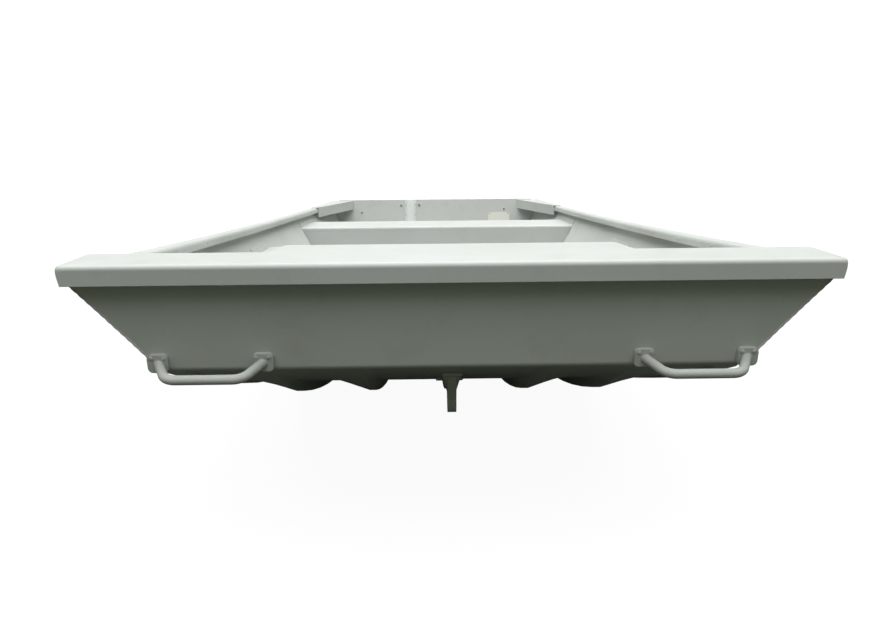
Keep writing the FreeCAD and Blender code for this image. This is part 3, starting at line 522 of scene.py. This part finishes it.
def corners(low, high, inset):
    return [(x, z) for x in (low.x + inset, high.x - inset)
            for z in (low.z + inset, high.z - inset)]


def transom_fixings():
    """Bolts through the transom and the motor pad, and rivets of the stiffener, the
    capacity plate and the skin's edges."""
    low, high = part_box("transom_stiffener")
    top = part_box("transom_panel")[1].z
    middle = (low.x + high.x) / 2
    places = [(middle + across, top - drop) for across, drop in STIFFENER_BOLTS]
    places.append((-middle + FAR_BOLT[0], top - FAR_BOLT[1]))
    fix("transom_bolts", surface_of("transom_panel"),
        [((x, 0.0, z), (0.0, 1.0, 0.0)) for x, z in places],
        BOLT, bolt_metal, smooth=False)
    fix("stiffener_rivets", surface_of("transom_stiffener"),
        [((x, 0.0, z), (0.0, 1.0, 0.0))
         for z in spread(low.z + STIFFENER_FOOT, high.z - STIFFENER_HEAD, STIFFENER_STEP)
         for x in (low.x + STIFFENER_IN, high.x - STIFFENER_IN)])
    fix("capacity_plate_rivets", surface_of("capacity_plate"),
        [((x, 0.0, z), (0.0, 1.0, 0.0))
         for x, z in corners(*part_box("capacity_plate"), PLATE_IN)],
        SMALL_RIVET, bolt_metal)
    low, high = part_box("motor_pad")
    fix("motor_pad_bolts", surface_of("motor_pad"),
        [((x, high.y + OFF_TRANSOM, z), (0.0, -1.0, 0.0)) for x, z in corners(low, high, PAD_IN)],
        BOLT, bolt_metal, smooth=False)
    skin = surface_of("transom_skin")
    low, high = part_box("transom_skin")
    places = []
    for side, sign in SIDES:
        for z in spread(low.z + SKIN_FOOT, high.z - SKIN_HEAD, SKIN_STEP):
            edge = skin.find_nearest(Vector((sign * TRANSOM_SEEN, (low.y + high.y) / 2, z)))[0]
            places.append((edge.x - sign * SKIN_IN, z))
    places += [(x, low.z + SKIN_FOOT_ROW_UP) for x in spread(-ROW_REACH, ROW_REACH, ROW_STEP)]
    fix("transom_edge_rivets", skin,
        [((x, high.y + OFF_TRANSOM, z), (0.0, -1.0, 0.0)) for x, z in places], RIVET)


def bow_weld(side, sign):
    """Weld down the corner of the bow plate and the side."""
    plate = surface_of("bow_plate")
    low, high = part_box("bow_plate")
    path = []
    for z in spread(low.z + WELD_FOOT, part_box("bow_deck")[0].z - WELD_HEAD, WELD_STEP):
        face = hit(plate, (0.0, low.y - WELD_OFF, z), (0.0, 1.0, 0.0))[0]
        edge = hit(plate, (sign, face.y + WELD_IN, z), (-sign, 0.0, 0.0))[0]
        path.append(Vector((edge.x, face.y + WELD_IN, z)))
    bead("bow_weld_" + side, path, WELD_RADIUS, rivet_paint)


for bench in BENCHES:
    bench_rivets(bench)
for side, sign in SIDES:
    hull_side_rivets(side, sign)
    side_rail_rivets(side, sign)
    gunwale_rivets(side, sign)
    side_rib_rivets(side, sign)
    foot_rivets(side)
for side, sign in SIDES:
    bow_weld(side, sign)
floor_rib_rivets()
transom_fixings()


# ---------------------------------------------------------------- floor, light and camera

def floor_material():
    """White to the camera with a faint shadow on it, and dark to light that bounces."""
    material, tree, shader = new_material("floor")
    shader.inputs["Base Color"].default_value = FLOOR_BOUNCE
    shader.inputs["Roughness"].default_value = FLOOR_ROUGHNESS
    seen = tree.nodes.new("ShaderNodeBsdfDiffuse")
    seen.inputs["Color"].default_value = grey(FLOOR_SHADOW)
    glow = tree.nodes.new("ShaderNodeEmission")
    glow.inputs["Strength"].default_value = FLOOR_GLOW
    both = tree.nodes.new("ShaderNodeAddShader")
    tree.links.new(seen.outputs[0], both.inputs[0])
    tree.links.new(glow.outputs[0], both.inputs[1])
    path = tree.nodes.new("ShaderNodeLightPath")
    choose = tree.nodes.new("ShaderNodeMixShader")
    tree.links.new(path.outputs["Is Camera Ray"], choose.inputs[0])
    tree.links.new(shader.outputs[0], choose.inputs[1])
    tree.links.new(both.outputs[0], choose.inputs[2])
    tree.links.new(choose.outputs[0], tree.nodes["Material Output"].inputs["Surface"])
    return material


def floor():
    mesh = bpy.data.meshes.new("floor")
    corner_signs = ((-1, -1), (1, -1), (1, 1), (-1, 1))
    mesh.from_pydata([(x * FLOOR_REACH, y * FLOOR_REACH, 0.0) for x, y in corner_signs],
                     [], [(0, 1, 2, 3)])
    mesh.materials.append(floor_material())
    piece = bpy.data.objects.new("floor", mesh)
    bpy.context.scene.collection.objects.link(piece)


def world():
    """White to the camera; a soft sky for light, bright above and dim below."""
    scene_world = bpy.data.worlds.new("studio")
    scene_world.use_nodes = True
    bpy.context.scene.world = scene_world
    tree = scene_world.node_tree
    background = tree.nodes["Background"]
    path = tree.nodes.new("ShaderNodeLightPath")
    coords = tree.nodes.new("ShaderNodeTexCoord")
    split = tree.nodes.new("ShaderNodeSeparateXYZ")
    tree.links.new(coords.outputs["Generated"], split.inputs["Vector"])
    sky = ramp(tree, split.outputs["Z"], SKY_RANGE, HORIZON, ZENITH)
    white = tree.nodes.new("ShaderNodeRGB")
    white.outputs[0].default_value = grey(1.0)
    tree.links.new(mix(tree, "MIX", path.outputs["Is Camera Ray"], sky, white.outputs[0]),
                   background.inputs["Color"])
    strength = tree.nodes.new("ShaderNodeMix")
    strength.inputs["A"].default_value = SKY_POWER
    strength.inputs["B"].default_value = 1.0
    tree.links.new(path.outputs["Is Camera Ray"], strength.inputs["Factor"])
    tree.links.new(strength.outputs["Result"], background.inputs["Strength"])


def area_light(name, place, target, size, energy):
    data = bpy.data.lights.new(name, "AREA")
    data.shape = "RECTANGLE"
    data.size = size[0]
    data.size_y = size[1]
    data.energy = energy
    lamp = bpy.data.objects.new(name, data)
    lamp.location = place
    lamp.rotation_euler = (Vector(target) - Vector(place)).to_track_quat("-Z", "Y").to_euler()
    bpy.context.scene.collection.objects.link(lamp)


def camera():
    low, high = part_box("bow_deck")
    start = Vector(((low.x + high.x) / 2, low.y, high.z)) + CAMERA_OFFSET
    ahead = Vector((math.sin(CAMERA_YAW) * math.cos(CAMERA_PITCH),
                    math.cos(CAMERA_YAW) * math.cos(CAMERA_PITCH), math.sin(CAMERA_PITCH)))
    level = Vector((math.cos(CAMERA_YAW), -math.sin(CAMERA_YAW), 0.0))
    upright = level.cross(ahead)
    right = math.cos(CAMERA_ROLL) * level + math.sin(CAMERA_ROLL) * upright
    up = math.cos(CAMERA_ROLL) * upright - math.sin(CAMERA_ROLL) * level
    data = bpy.data.cameras.new("camera")
    data.sensor_width = SENSOR
    data.lens = FOCAL_PIXELS * SENSOR / IMAGE_WIDTH
    data.clip_end = CLIP_END
    piece = bpy.data.objects.new("camera", data)
    turn = Matrix((right, up, -ahead)).transposed().to_4x4()
    piece.matrix_world = Matrix.Translation(start) @ turn
    bpy.context.scene.collection.objects.link(piece)
    bpy.context.scene.camera = piece


floor()
world()
area_light("overhead", place=(0.0, 0.4, 3.4), target=(0.0, 0.4, 0.0), size=(2.6, 4.6),
           energy=OVERHEAD_POWER)
area_light("front_fill", place=(-1.8, -3.6, 2.3), target=(0.0, -1.4, 0.4), size=(1.6, 1.2),
           energy=FILL_POWER)
camera()
bpy.context.scene.view_settings.view_transform = "Standard"
